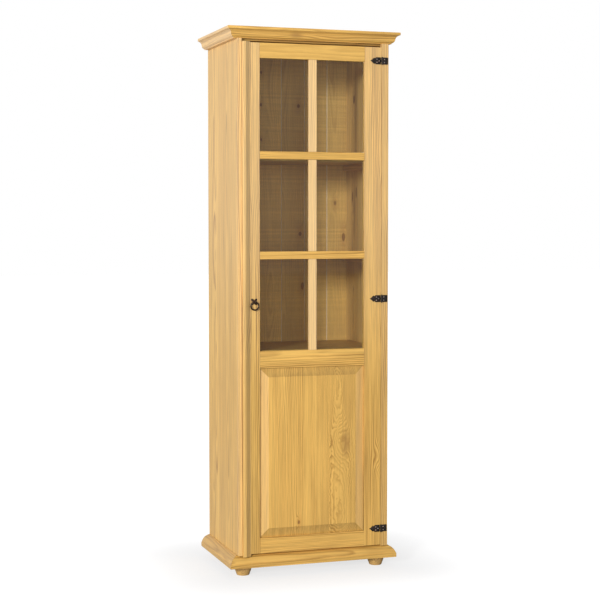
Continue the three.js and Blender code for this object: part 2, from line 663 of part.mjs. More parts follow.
// An iron plate with four lobes, an eye for the ring, and a shank through the stile.
function pullPlate() {
  const [front, back] = [yFace - JOINT - PLATE_T, yFace - JOINT];
  const disc = (x, z, radius) => round('y', radius, [pullX + x, PULL_Z + z], front, back, 14);
  const eye = new THREE.TorusGeometry(EYE_R, EYE_WIRE, 8, 20).rotateY(Math.PI / 2);
  eye.translate(pullX, pullY, PULL_Z);
  const root = round('y', EYE_WIRE + 0.6, [pullX, PULL_Z], pullY + EYE_R - 0.4, back, 12);
  const shank = round('y', SHANK_R, [pullX, PULL_Z], front, yDoorBack - 0.5, 12);
  const { x, z, r } = LOBE;
  const lobes = [disc(-x, z, r), disc(x, z, r), disc(-x, -z, r), disc(x, -z, r)];
  add('pull_plate', join(disc(0, 0, Math.hypot(x, z) - r * 0.6), ...lobes, root, shank, eye), IRON);
}

function pullRing() {
  const ring = new THREE.TorusGeometry(RING_R, RING_WIRE, 10, 32).rotateX(Math.PI / 2);
  add('pull_ring', ring.translate(pullX, pullY, PULL_Z - RING_R), IRON);
}

sidePanels();
frontStrips();
carcaseBoards();
shelfCleats();
backBoards();
mouldingFrame('cornice', crownProfile(), zCrown);
mouldingFrame('plinth', plinthProfile(), FOOT_H);
plinthBack();
feet();
stiles();
rails();
muntins();
glazing();
panel();
closingStrip();
catchPair();
hingeLeaves();
pullPlate();
pullRing();

export default cabinet;
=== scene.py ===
import json
import math

import bmesh
import bpy
import numpy as np
from mathutils import Euler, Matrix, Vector


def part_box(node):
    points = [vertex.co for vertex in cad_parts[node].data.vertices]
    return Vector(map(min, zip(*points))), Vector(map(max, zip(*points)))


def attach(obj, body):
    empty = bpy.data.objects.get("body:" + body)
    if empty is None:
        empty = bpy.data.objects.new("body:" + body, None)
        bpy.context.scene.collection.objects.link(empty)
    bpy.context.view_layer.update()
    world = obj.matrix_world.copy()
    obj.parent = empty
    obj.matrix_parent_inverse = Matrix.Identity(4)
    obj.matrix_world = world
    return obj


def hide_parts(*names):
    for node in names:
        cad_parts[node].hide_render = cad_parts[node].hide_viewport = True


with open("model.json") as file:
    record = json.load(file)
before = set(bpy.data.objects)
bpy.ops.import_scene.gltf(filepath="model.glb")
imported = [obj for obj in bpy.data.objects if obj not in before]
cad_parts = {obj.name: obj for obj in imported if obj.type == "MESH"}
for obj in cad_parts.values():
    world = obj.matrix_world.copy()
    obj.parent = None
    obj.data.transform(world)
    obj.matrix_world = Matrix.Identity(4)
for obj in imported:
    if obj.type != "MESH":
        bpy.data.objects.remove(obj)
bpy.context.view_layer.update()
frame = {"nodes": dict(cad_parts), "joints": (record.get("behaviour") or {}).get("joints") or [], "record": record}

MM = 0.001
SCENE = bpy.context.scene
BODY_OF = {n: b for b, nodes in frame["record"]["behaviour"]["bodies"].items() for n in nodes}

# The planes that the pieces are set out from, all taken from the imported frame.
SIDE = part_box("side_left")
LEFT, RIGHT = SIDE[0].x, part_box("side_right")[1].x
BOX_FRONT, BACK = SIDE[0].y, SIDE[1].y
SHELF_DEEP = 0.38
ARRIS, FINE_ARRIS = 0.8 * MM, 0.3 * MM
SAME_POINT = 1e-6       # points closer than this are one point


# ---------------------------------------------------------------- camera and light

def set_camera():
    """The eye stands to the left of the door, at a standing person's chest height, and looks slightly
    down."""
    data = bpy.data.cameras.new("camera")
    data.sensor_width = 36.0
    data.lens = 88.47
    data.dof.use_dof = False
    camera = bpy.data.objects.new("camera", data)
    SCENE.collection.objects.link(camera)
    camera.location = (-1.7774, -5.3176, 1.2994)
    camera.rotation_euler = Euler((math.radians(90 - 3.034), 0, math.radians(-18.579)))
    SCENE.camera = camera


def area_light(name, place, aim, size, watts, colour=(1, 1, 1)):
    data = bpy.data.lights.new(name, "AREA")
    data.shape = "RECTANGLE"
    data.size, data.size_y = size
    data.energy = watts
    data.color = colour
    lamp = bpy.data.objects.new(name, data)
    SCENE.collection.objects.link(lamp)
    lamp.location = place
    lamp.rotation_euler = (Vector(aim) - Vector(place)).to_track_quat("-Z", "Y").to_euler()


def set_studio():
    """A pale floor that runs out into a white room, with a painted shadow round the cabinet's foot, a
    broad key from the front left, and a soft light along the side."""
    world = bpy.data.worlds.new("room")
    SCENE.world = world
    world.use_nodes = True
    nodes, links = world.node_tree.nodes, world.node_tree.links
    nodes.clear()
    seen = nodes.new("ShaderNodeBackground")
    seen.inputs["Color"].default_value = (1, 1, 1, 1)
    seen.inputs["Strength"].default_value = 1.0
    lit = nodes.new("ShaderNodeBackground")
    lit.inputs["Color"].default_value = (0.97, 0.98, 1.0, 1)
    lit.inputs["Strength"].default_value = 0.40
    path = nodes.new("ShaderNodeLightPath")
    mix = nodes.new("ShaderNodeMixShader")
    out = nodes.new("ShaderNodeOutputWorld")
    links.new(path.outputs["Is Camera Ray"], mix.inputs["Fac"])
    links.new(lit.outputs[0], mix.inputs[1])
    links.new(seen.outputs[0], mix.inputs[2])
    links.new(mix.outputs[0], out.inputs["Surface"])
    area_light("key", (-6.6, -7.2, 3.1), (0, 0, 1.0), (1.4, 1.4), 690, (1.0, 0.99, 0.965))
    area_light("front", (-2.3, -8.3, 1.8), (0, 0, 1.0), (2.2, 2.2), 110, (1.0, 0.99, 0.97))
    area_light("side", (-6.0, 2.2, 1.6), (0, 0, 1.0), (3.4, 3.4), 70, (1.0, 0.99, 0.98))

    mesh = bpy.data.meshes.new("floor")
    reach = 30.0
    corners = [(-reach, -reach, 0), (reach, -reach, 0), (reach, reach, 0), (-reach, reach, 0)]
    mesh.from_pydata(corners, [], [(0, 1, 2, 3)])
    floor = bpy.data.objects.new("floor", mesh)
    SCENE.collection.objects.link(floor)
    paint = Recipe("floor_paint")
    place = paint.coords()
    # Painted shadow: the floor shines less within about half a metre of the cabinet's footprint.
    beyond = paint.vector("SUBTRACT", paint.vector("ABSOLUTE", place), (0.30, 0.20, 0.0))
    away = paint.vector("LENGTH", paint.vector("MAXIMUM", beyond, (0, 0, 0)))
    mottle = paint.math("MULTIPLY", paint.math("SUBTRACT", paint.noise(place, 3.0, detail=2), 0.5), 0.02)
    glow_with_painted_shadow = paint.math("ADD", paint.span(away, 0.0, 0.55, 0.74, 1.0), mottle)
    seen = paint.shader({"Base Color": (0.20, 0.20, 0.205), "Roughness": 0.8, "Emission Color": (1, 1, 1, 1),
                         "Emission Strength": glow_with_painted_shadow})
    lit = paint.add("ShaderNodeBsdfDiffuse", {"Color": (0.50, 0.50, 0.51)}).outputs[0]
    path = paint.add("ShaderNodeLightPath").outputs["Is Camera Ray"]
    both = paint.add("ShaderNodeMixShader", {0: path, 1: lit, 2: seen}).outputs[0]
    mesh.materials.append(paint.finish(both))
    SCENE.view_settings.view_transform = "Standard"
    SCENE.view_settings.look = "None"


# ---------------------------------------------------------------- material building

class Recipe:
    """A material put together node by node; every call returns the socket that the next one reads."""

    def __init__(self, name):
        self.material = bpy.data.materials.new(name)
        self.material.use_nodes = True
        self.tree = self.material.node_tree
        self.tree.nodes.clear()

    def add(self, kind, inputs=None, **settings):
        node = self.tree.nodes.new(kind)
        for key, value in settings.items():
            setattr(node, key, value)
        for key, value in (inputs or {}).items():
            self.feed(node.inputs[key], value)
        return node

    def feed(self, socket, value):
        if isinstance(value, bpy.types.NodeSocket):
            self.tree.links.new(value, socket)
        elif isinstance(value, (tuple, list)) and len(value) == 3 and socket.type == "RGBA":
            socket.default_value = (*value, 1)
        else:
            socket.default_value = value

    def coords(self):
        return self.add("ShaderNodeTexCoord").outputs["Object"]

    def math(self, operation, a, b=0.0, c=0.0, clamp=False):
        node = self.add("ShaderNodeMath", operation=operation, use_clamp=clamp)
        for socket, value in zip(node.inputs, (a, b, c)):
            self.feed(socket, value)
        return node.outputs[0]

    def vector(self, operation, a, b=(0, 0, 0), scale=None):
        node = self.add("ShaderNodeVectorMath", operation=operation)
        self.feed(node.inputs[0], a)
        self.feed(node.inputs[1], b)
        if scale is not None:
            self.feed(node.inputs["Scale"], scale)
        return node.outputs["Value" if operation in ("LENGTH", "DISTANCE", "DOT_PRODUCT") else "Vector"]

    def times(self, a, b):
        return self.math("MULTIPLY", a, b)

    def about(self, value, spread):
        """A factor that runs `spread` wide about one, from a value that runs about a half."""
        return self.math("MULTIPLY_ADD", self.math("SUBTRACT", value, 0.5), spread, 1.0)

    def sway(self, colour, reach):
        """A push in three directions, up to half of `reach` each way, from a noise's colour."""
        return self.vector("SCALE", self.vector("SUBTRACT", colour, (0.5, 0.5, 0.5)), scale=reach)

    def stretched(self, *pairs):
        """Three values joined, each multiplied by a factor of its own."""
        return self.join(*[self.times(value, factor) for value, factor in pairs])

    def split(self, vector):
        return self.add("ShaderNodeSeparateXYZ", {"Vector": vector}).outputs

    def join(self, x, y, z):
        return self.add("ShaderNodeCombineXYZ", {"X": x, "Y": y, "Z": z}).outputs[0]

    def noise(self, vector, scale, detail=3.0, rough=0.5, colour=False, distort=0.0):
        node = self.add("ShaderNodeTexNoise", {"Vector": vector, "Scale": scale, "Detail": detail,
                                               "Roughness": rough, "Distortion": distort})
        return node.outputs["Color" if colour else "Fac"]

    def ramp(self, factor, stops, smooth=False):
        node = self.add("ShaderNodeValToRGB", {"Fac": factor})
        band = node.color_ramp
        band.interpolation = "EASE" if smooth else "LINEAR"
        while len(band.elements) < len(stops):
            band.elements.new(0.5)
        for element, (place, value) in zip(band.elements, stops):
            element.position = place
            element.color = (*value, 1) if isinstance(value, tuple) else (value, value, value, 1)
        return node.outputs["Color"]

    def span(self, value, low, high, to_low=0.0, to_high=1.0, smooth=True):
        node = self.add("ShaderNodeMapRange", {"Value": value, "From Min": low, "From Max": high,
                                               "To Min": to_low, "To Max": to_high})
        node.interpolation_type = "SMOOTHSTEP" if smooth else "LINEAR"
        return node.outputs["Result"]

    def blend(self, factor, a, b, mode="MIX"):
        node = self.add("ShaderNodeMix", data_type="RGBA", blend_type=mode)
        self.feed(node.inputs[0], factor)
        self.feed(node.inputs[6], a)
        self.feed(node.inputs[7], b)
        return node.outputs[2]

    def bump(self, height, distance, strength=1.0, under=None):
        inputs = {"Height": height, "Distance": distance, "Strength": strength}
        if under is not None:
            inputs["Normal"] = under
        return self.add("ShaderNodeBump", inputs).outputs["Normal"]

    def shader(self, inputs):
        return self.add("ShaderNodeBsdfPrincipled", inputs).outputs[0]

    def finish(self, surface):
        self.add("ShaderNodeOutputMaterial", {"Surface": surface})
        return self.material


# Wood colours: a ring's pale and dark parts, then what knots show, and a painted highlight for the joints.
EARLY = (0.790, 0.478, 0.118)
LATE = (0.340, 0.150, 0.022)
AMBER = (0.50, 0.235, 0.045)        # the wood that a knot has coloured
KNOT = (0.175, 0.070, 0.018)
KNOT_PALE = (0.28, 0.120, 0.034)    # every other ring of a knot
BARK = (0.105, 0.040, 0.011)
# A painted highlight along the joints of the back boards.
JOINT_HIGHLIGHT = (0.97, 0.84, 0.60)


def cuts(width, count, seed, aside=0.10, behind=(0.02, 0.09)):
    """Widths and pith places for the staves that a wide board is glued up from."""
    luck = np.random.default_rng(seed)
    share = luck.uniform(0.8, 1.2, count)
    return [(float(w), float(luck.uniform(-aside, aside)), float(luck.uniform(*behind)))
            for w in share / share.sum() * width]


def stave_cut(r, across, staves, seed, rings):
    """Which stave a point lies in, and that stave's pith place, depth of pith, luck and ring width. A row
    of staves keeps its values in a stepped colour ramp, read back by the stave's number."""
    edges = np.cumsum([w for w, *_ in staves])
    index = 0.0
    for edge in edges[:-1]:
        index = r.math("ADD", index, r.math("GREATER_THAN", across, float(edge)))
    rng = np.random.default_rng(seed + 500)
    row = [(float((a0 + w / 2 + aside) + 0.5), behind, float(rng.uniform()), (own or [rings])[0] / 10)
           for (w, aside, behind, *own), a0 in zip(staves, edges - [w for w, *_ in staves])]
    if staves[0][0] > 1:
        row = [(staves[0][1] + 0.5, *row[0][1:])]
    if len(row) == 1:
        return edges, index, row[0]
    n = len(row)
    chosen = r.add("ShaderNodeValToRGB", {"Fac": r.math("DIVIDE", r.math("ADD", index, 0.5), float(n))})
    band = chosen.color_ramp
    band.interpolation = "CONSTANT"
    while len(band.elements) < n:
        band.elements.new(0.5)
    for i, (element, value) in enumerate(zip(band.elements, row)):
        element.position = i / n
        element.color = value
    return edges, index, (*r.split(chosen.outputs["Color"]), chosen.outputs["Alpha"])


def knot_field(r, across, along, count, quick, knots, stray, seed):
    """Knots listed one by one, and stray ones in the cells of a coarse Voronoi grid. Round each, the ring count
    rises by a bell curve of the distance; the core is marked, a firm knot gets a bark rim, and the wood
    round it is shaded. Gives the raised count, the three strengths, and whether there is any knot."""
    mark, rim, shade = 0.0, 0.0, 0.0
    places = [(r.math("SUBTRACT", across, a), r.math("SUBTRACT", along, l), size * MM, *rest)
              for a, l, size, *rest in knots]
    if stray:
        cells = r.join(r.times(across, 7.0), r.math("MULTIPLY_ADD", along, 2.3, seed * 3.7), 0.0)
        cell = r.add("ShaderNodeTexVoronoi", {"Vector": cells, "Scale": 1.0, "Randomness": 0.55},
                     voronoi_dimensions="2D")
        gap = r.split(r.vector("SUBTRACT", cells, cell.outputs["Position"]))
        odds = r.split(cell.outputs["Color"])
        size = r.math("MULTIPLY_ADD", odds[1], 5 * MM, 3.5 * MM)
        there = r.math("LESS_THAN", odds[0], stray)
        places.append((r.math("DIVIDE", gap[0], 7.0), r.math("DIVIDE", gap[1], 2.3), size, there))
    for a, l, size, there, *shape in places:
        lifted, stretch = shape or (4.2, 0.66)
        wobble = r.times(r.math("SUBTRACT", r.split(quick)[2], 0.5), 0.9)
        away = r.vector("LENGTH", r.join(a, r.times(l, stretch), 0.0))
        near = r.math("ADD", r.math("DIVIDE", away, size), wobble)
        wide = r.vector("LENGTH", r.join(a, r.times(l, 0.38 * min(1.0, stretch / 0.66)), 0.0))
        bell = r.math("EXPONENT", r.times(r.math("POWER", r.math("DIVIDE", wide, size), 2.0), -0.16))
        always, soft = (1.0, there < 0.6) if isinstance(there, float) else (there, False)
        count = r.math("ADD", count, r.times(r.times(bell, always), lifted))
        core = r.span(near, 1.8 if soft else 1.15, 0.2 if soft else 0.75)
        mark = r.math("MAXIMUM", mark, r.times(core, there))
        if not soft:
            ringed = r.times(r.span(near, 0.7, 1.0), r.span(near, 1.5, 1.05))
            rim = r.math("MAXIMUM", rim, r.times(ringed, there))
            shade = r.math("MAXIMUM", shade, r.times(r.times(bell, 0.55), always))
    return count, mark, rim, shade, bool(places)


def pine(name, axes, corner, staves=((9.0, 0.0, 0.05),), seed=0, rings=6.0, tone=1.0, warm=0.0, knots=(),
         stray=0.0, saw=0.0, contrast=1.0, ripple=0.0, bend=1.0, bloom=(0.0, 0.0), bare=False, cut_pale=0.0,
         cut_dark=1.0):
    """Waxed pine as a solid texture. Growth rings are cylinders about a pith that lies to one side of each
    stave and behind it, bent by slow noise, so that a flat face shows arches and an edge shows lines.
    Each ring darkens slowly and ends sharply. A knot lifts the ring count round it in a bell curve, so
    that the lines close about it. End grain drinks more wax and is darker. `bloom` is painted sheen: how
    much paler the wood is made, low down and high up. `bare` is a painted highlight: a pale strip along
    the board's edge by a joint. `cut_pale` is how much paler a bevel is, and `cut_dark` is painted
    shade: how much darker the bevel that leans to the far side is made. A stave is (width, pith aside,
    pith behind, own ring width in mm), and a knot (across, along, size in mm, darkness, ring lift,
    flattening)."""
    r = Recipe(name)
    coords = r.add("ShaderNodeTexCoord").outputs
    position = dict(zip("xyz", r.split(coords["Object"])))
    across, deep, along = (r.math("SUBTRACT", position[axis], corner["xyz".index(axis)]) for axis in axes)
    edges, index, (pith_at, behind, luck, ring_width) = stave_cut(r, across, staves, seed, rings)
    here = r.math("SUBTRACT", r.math("ADD", across, 0.5), pith_at)
    depth = r.math("ADD", deep, behind)
    length = r.math("ADD", along, r.math("MULTIPLY_ADD", luck, 9.0, seed * 1.37))

    slow = r.noise(r.stretched((here, 6.0), (depth, 6.0), (length, 1.3)), 1.0, detail=1.5, colour=True)
    quick = r.noise(r.stretched((here, 36.0), (depth, 36.0), (length, 5.5)), 1.0, detail=2.0, colour=True)
    bent = r.vector("ADD", r.join(here, depth, 0.0),
                    r.vector("ADD", r.sway(slow, 0.075 * bend), r.sway(quick, 0.007)))
    if ripple:
        wave = r.noise(r.join(r.times(here, 60.0), 0.0, r.times(length, 42.0)), 1.0, detail=2.0, colour=True)
        wave = r.sway(wave, ripple * MM)
        if len(staves) > 1:
            wave = r.vector("SCALE", wave, scale=r.math("GREATER_THAN", index, len(staves) - 1.5))
        bent = r.vector("ADD", bent, wave)
    radius = r.vector("LENGTH", r.vector("MULTIPLY", bent, (1, 1, 0)))
    swell = r.noise(r.join(r.times(radius, 40.0), luck, seed * 1.0), 1.0, detail=1.0)
    count = r.math("ADD", r.math("DIVIDE", radius, r.times(ring_width, 10 * MM)), r.times(swell, 3.0))
    count, mark, rim, shade, knotty = knot_field(r, across, along, count, quick, knots, stray, seed)

    ring = r.ramp(r.math("FRACT", count),
                  [(0.0, 0.35), (0.06, 0.0), (0.35, 0.10), (0.62, 0.55), (0.86, 1.0), (1.0, 0.45)])
    fade = r.noise(r.stretched((here, 16.0), (radius, 46.0), (length, 1.2)), 1.0)
    late = r.times(ring, r.span(fade, 0.28, 0.70, 0.22 * contrast, 0.95 * contrast))
    fibre = r.noise(r.stretched((across, 620.0), (deep, 620.0), (along, 14.0)), 1.0, detail=3.0, rough=0.6)
    streak = r.noise(r.stretched((across, 150.0), (deep, 150.0), (length, 4.0)), 1.0, detail=2.0)
    spot = r.join(r.times(across, 9.0), r.times(deep, 9.0), r.math("MULTIPLY_ADD", along, 1.6, seed))
    patch = r.noise(spot, 1.0)
    shift = (tone, tone * (1.0 - 0.05 * warm), tone * (1.0 - 0.14 * warm))
    colour = r.blend(late, *(tuple(c * k for c, k in zip(wood, shift)) for wood in (EARLY, LATE)))
    if knotty:
        colour = r.blend(shade, colour, tuple(c * tone for c in AMBER))
    lift = r.about(patch, 0.40)
    lift = r.times(lift, r.about(luck, 0.10))
    lift = r.times(lift, r.about(fibre, 0.48))
    lift = r.times(lift, r.about(streak, 0.66 * contrast))
    if saw:
        teeth = r.noise(r.join(r.times(across, 4.0), 0.0, r.times(along, 130.0)), 1.0, detail=2.0)
        lift = r.times(lift, r.about(teeth, saw))
    for edge in edges[:-1]:
        seam = r.math("ABSOLUTE", r.math("SUBTRACT", across, float(edge)))
        lift = r.times(lift, r.span(seam, 0.0, 0.6 * MM, 0.72, 1.0))
    facing = r.split(coords["Normal"])
    end = r.math("ABSOLUTE", facing["xyz".index(axes[2])])
    lean = facing["xyz".index(axes[0])]
    # Painted shade: faces that lean to the far side are made darker.
    if cut_dark < 1:
        lift = r.times(lift, r.span(lean, 0.15, 0.35, 1.0, cut_dark))
    lift = r.times(lift, r.span(end, 0.02, 0.24, 1.0, 0.70, smooth=False))
    colour = r.vector("SCALE", colour, scale=lift)
    # Painted highlight: a pale strip along the board's edge at the joint.
    if bare:
        colour = r.blend(r.span(across, 0.5 * MM, 3.4 * MM, 0.8, 0.0), colour, JOINT_HIGHLIGHT)
    # Painted sheen: the wood is made paler by height, between 0.6 m and 1.4 m up.
    if max(bloom):
        pale = r.span(position["z"], 0.6, 1.4, *bloom)
        colour = r.vector("ADD", colour, r.join(pale, pale, pale))
    if cut_pale:
        pale = r.span(r.math("ABSOLUTE", lean), 0.05, 0.15, 0.0, cut_pale)
        colour = r.vector("ADD", colour, r.join(pale, pale, pale))
    if knotty:
        core = r.blend(r.math("FRACT", r.times(count, 1.7)), KNOT, KNOT_PALE)
        colour = r.blend(mark, colour, core)
        colour = r.blend(r.times(rim, 0.75), colour, BARK)
    height = r.math("ADD", r.times(late, 0.5), r.times(fibre, 0.6))
    normal = r.bump(height, 0.35 * MM, 0.35)
    rough = r.math("MULTIPLY_ADD", fibre, 0.14, 0.40)
    rough = r.math("SUBTRACT", rough, r.times(late, 0.05))
    return r.finish(r.shader({"Base Color": colour, "Roughness": rough, "Normal": normal,
                              "Specular IOR Level": 0.5, "Coat Weight": 0.12, "Coat Roughness": 0.35}))


def hammered_iron(name, base=(0.022, 0.019, 0.017), dents=380.0, rough=0.42):
    """Black forged iron: shallow round dents from Voronoi cells, a fine scale on top, patches of brown
    rust."""
    r = Recipe(name)
    place = r.coords()
    cell = r.add("ShaderNodeTexVoronoi", {"Vector": place, "Scale": dents, "Smoothness": 0.8},
                 feature="SMOOTH_F1")
    dent = cell.outputs["Distance"]
    scale = r.noise(place, 2600.0, detail=3)
    bloom = r.noise(place, 120.0, detail=3)
    rust = tuple(c * k for c, k in zip(base, (2.6, 1.9, 1.5)))
    colour = r.ramp(bloom, [(0.42, base), (0.75, rust)])
    worn = r.span(dent, 0.45, 0.85)
    colour = r.blend(r.math("MULTIPLY", worn, 0.35), colour, tuple(c * 3.0 for c in base))
    normal = r.bump(dent, 0.55 * MM, 0.55)
    normal = r.bump(scale, 0.06 * MM, 0.4, normal)
    return r.finish(r.shader({"Base Color": colour, "Metallic": 0.55, "Normal": normal,
                              "Roughness": r.math("MULTIPLY_ADD", bloom, 0.25, rough - 0.1)}))


def bright_steel(name, base, rough):
    """Filed steel: short scratches one way and a slow change of shine."""
    r = Recipe(name)
    place = r.coords()
    scratch = r.noise(r.vector("MULTIPLY", place, (300, 300, 2400)), 1.0, detail=2)
    wear = r.noise(place, 90.0, detail=2)
    colour = r.blend(r.math("MULTIPLY", wear, 0.4), base, tuple(c * 0.6 for c in base))
    return r.finish(r.shader({"Base Color": colour, "Metallic": 1.0,
                              "Normal": r.bump(scratch, 0.03 * MM, 0.5),
                              "Roughness": r.math("MULTIPLY_ADD", scratch, 0.15, rough)}))


def window_glass(name):
    """Float glass seen nearly straight on: clear, with a mirror layer that grows towards grazing views and
    a faint waviness."""
    r = Recipe(name)
    wave = r.noise(r.coords(), 3.0, detail=1)
    normal = r.bump(wave, 2.0 * MM, 0.12)
    clear = r.add("ShaderNodeBsdfTransparent", {"Color": (0.905, 0.92, 0.915, 1)}).outputs[0]
    mirror = r.add("ShaderNodeBsdfGlossy", {"Color": (1, 1, 1, 1), "Roughness": 0.03,
                                            "Normal": normal}).outputs[0]
    slant = r.add("ShaderNodeLayerWeight", {"Blend": 0.5, "Normal": normal}).outputs["Facing"]
    edge = r.math("MULTIPLY_ADD", r.math("POWER", slant, 5.0), 0.965, 0.035)
    mix = r.add("ShaderNodeMixShader", {0: edge, 1: clear, 2: mirror}).outputs[0]
    return r.finish(mix)


def brown_plastic(name):
    """Moulded plastic with a fine spark-eroded texture."""
    r = Recipe(name)
    grain = r.noise(r.coords(), 1800.0, detail=2)
    colour = r.ramp(grain, [(0.3, (0.13, 0.07, 0.03)), (0.7, (0.16, 0.09, 0.045))])
    return r.finish(r.shader({"Base Color": colour, "Roughness": 0.5,
                              "Normal": r.bump(grain, 0.05 * MM, 0.4)}))


# ---------------------------------------------------------------- piece building

def settle(obj, node, material, extra=()):
    """Puts a finished piece in its node's place: it rides on the node's body and stands for the node."""
    SCENE.collection.objects.link(obj)
    obj.data.materials.append(material)
    for other in extra:
        obj.data.materials.append(other)
    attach(obj, BODY_OF[node])
    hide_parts(node)
    return obj


def ease(obj, width, segments=2, angle=28):
    """Takes off every arris: a rounded bevel wherever two faces meet at more than the angle."""
    bevel = obj.modifiers.new("arris", "BEVEL")
    bevel.width = width
    bevel.segments = segments
    bevel.limit_method = "ANGLE"
    bevel.angle_limit = math.radians(angle)
    bevel.use_clamp_overlap = True
    bevel.harden_normals = True
    return obj


def mesh_of(name, points, faces, sharp, marks=None):
    """A mesh from arrays of points and faces, its normals turned outwards, smooth but for edges over
    `sharp`."""
    mesh = bpy.data.meshes.new(name)
    mesh.from_pydata(np.asarray(points, float).tolist(), [], faces)
    if marks is not None:
        mesh.polygons.foreach_set("material_index", np.asarray(marks, np.int32))
    bm = bmesh.new()
    bm.from_mesh(mesh)
    bmesh.ops.remove_doubles(bm, verts=bm.verts, dist=SAME_POINT)
    bmesh.ops.recalc_face_normals(bm, faces=bm.faces)
    bm.to_mesh(mesh)
    bm.free()
    mesh.polygons.foreach_set("use_smooth", np.ones(len(mesh.polygons), bool))
    mesh.set_sharp_from_angle(angle=math.radians(sharp))
    return mesh


def made(name, points, faces, sharp, marks=None):
    """An object and its mesh, both by one name."""
    return bpy.data.objects.new(name, mesh_of(name, points, faces, sharp, marks))


def board(node, material, arris):
    """A planed board: the CAD solid merged and freed of its flat seams, with its arrises taken off."""
    mesh = frame["nodes"][node].data.copy()
    mesh.name = node + "_planed"
    mesh.materials.clear()
    bm = bmesh.new()
    bm.from_mesh(mesh)
    bmesh.ops.remove_doubles(bm, verts=bm.verts, dist=SAME_POINT)
    bmesh.ops.dissolve_limit(bm, angle_limit=math.radians(1), verts=bm.verts, edges=bm.edges)
    bmesh.ops.recalc_face_normals(bm, faces=bm.faces)
    bm.to_mesh(mesh)
    bm.free()
    mesh.polygons.foreach_set("use_smooth", np.ones(len(mesh.polygons), bool))
    mesh.set_sharp_from_angle(angle=math.radians(28))
    obj = bpy.data.objects.new(node + "_planed", mesh)
    settle(obj, node, material)
    return ease(obj, arris)


def tube_faces(rings, count, first=0):
    """Quads between neighbouring rings of `count` points, and one face over each end ring."""
    base = first + np.arange(rings - 1)[:, None] * count
    i = np.arange(count)[None, :]
    j = (i + 1) % count
    quads = np.stack([base + i, base + j, base + count + j, base + count + i], -1).reshape(-1, 4)
    last = first + (rings - 1) * count
    return quads.tolist() + [list(range(first, first + count))[::-1], list(range(last, last + count))]


def bezier(a, control, b, steps):
    """Points on the curve that leaves a towards the control point and reaches b from it, a left out."""
    t = np.linspace(0, 1, steps + 1)[1:, None]
    return (1 - t) ** 2 * np.array(a) + 2 * t * (1 - t) * np.array(control) + t ** 2 * np.array(b)


def mitred(node, outline, out, run, start, length, mitres, material, arris=0.45 * MM):
    """A moulding: the outline, in distance out and height, is carried along `run`. A point's end slides
    along the run by its distance out times the mitre, so a mitre of one cuts the end at 45 degrees."""
    out, run, start = (np.array(v, float) for v in (out, run, start))
    s, z = outline[:, 0], outline[:, 1]
    flat = start + s[:, None] * out + z[:, None] * np.array([0, 0, 1.0])
    near = flat - (s * mitres[0])[:, None] * run
    far = flat + (length + s * mitres[1])[:, None] * run
    obj = made(node + "_moulded", np.vstack([near, far]), tube_faces(2, len(s)), 24)
    settle(obj, node, material)
    return ease(obj, arris, angle=24)


def cornice_outline():
    """From the wall out and up: a small fillet, a cyma that is round below and hollow above, a step, a
    plain band."""
    high = (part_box("cornice_front")[1].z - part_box("cornice_front")[0].z) / MM
    foot, lip = 14.0, 36.0
    low, top = 2.5, high - 11.0
    middle = ((foot + lip) / 2, (low + top) / 2)
    swell = bezier((foot, low), (middle[0] - 1.4, low + 2.8), middle, 12)
    hollow = bezier(middle, (middle[0] + 1.4, top - 3.4), (lip, top), 12)
    return np.vstack([[(0.2, 0), (foot, 0), (foot, low)], swell, hollow,
                      [(lip, top + 1), (40, top + 1), (40, high), (0.2, high)]]) * MM


def plinth_outline():
    """From under the carcase out and up: a plain band, a small step, and a flat ovolo that runs back to
    the box."""
    under, high = -64.0, 44.0
    foot, top = (31.0, 18.0), (3.0, high)
    round_over = bezier(foot, (24.0, 38.3), top, 16)
    return np.vstack([[(under, 0), (33, 0), (33, 16), (31, 16.6), foot], round_over, [(under, high)]]) * MM


def moulding_frame(kind, outline, woods):
    """Three bars round the front and the sides, mitred at the front corners, square at the back."""
    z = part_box(kind + "_front")[0].z
    gap = 0.1 * MM
    wide, deep = RIGHT - LEFT - 2 * gap, BACK - BOX_FRONT - gap
    front, left, right = (LEFT + gap, BOX_FRONT, z), (LEFT, BOX_FRONT + gap, z), (RIGHT, BOX_FRONT + gap, z)
    mitred(kind + "_front", outline, (0, -1, 0), (1, 0, 0), front, wide, (1, 1), woods[0])
    mitred(kind + "_left", outline, (-1, 0, 0), (0, 1, 0), left, deep, (1, 0), woods[1])
    mitred(kind + "_right", outline, (1, 0, 0), (0, 1, 0), right, deep, (1, 0), woods[2])


def closing_strip(material):
    """The strip on the opening stile: a flat band with eased sides, then a slope, a little rounded, that
    falls to a thin edge."""
    lo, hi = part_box("closing_strip")
    band = np.array([(0, 0), (0, 0.90), (0.35, 0.97), (1.1, 1.0), (12.4, 1.0), (12.9, 0.98),
                     (13.2, 0.92), (13.6, 0.89)])
    fall = bezier((13.6, 0.89), (20.6, 0.58), (28.4, 0.13), 12)
    outline = np.vstack([band, fall, [(28.5, 0.12), (30.6, 0.12), (31.0, 0.08), (31.0, 0)]])
    x = lo.x + outline[:, 0] * MM
    y = hi.y - outline[:, 1] * (hi.y - lo.y)
    rings = np.stack([np.stack([x, y, np.full_like(x, z)], -1) for z in (lo.z, hi.z)])
    obj = made("closing_strip_moulded", rings.reshape(-1, 3), tube_faces(2, len(x)), 24)
    settle(obj, "closing_strip", material)
    return ease(obj, FINE_ARRIS, angle=24)


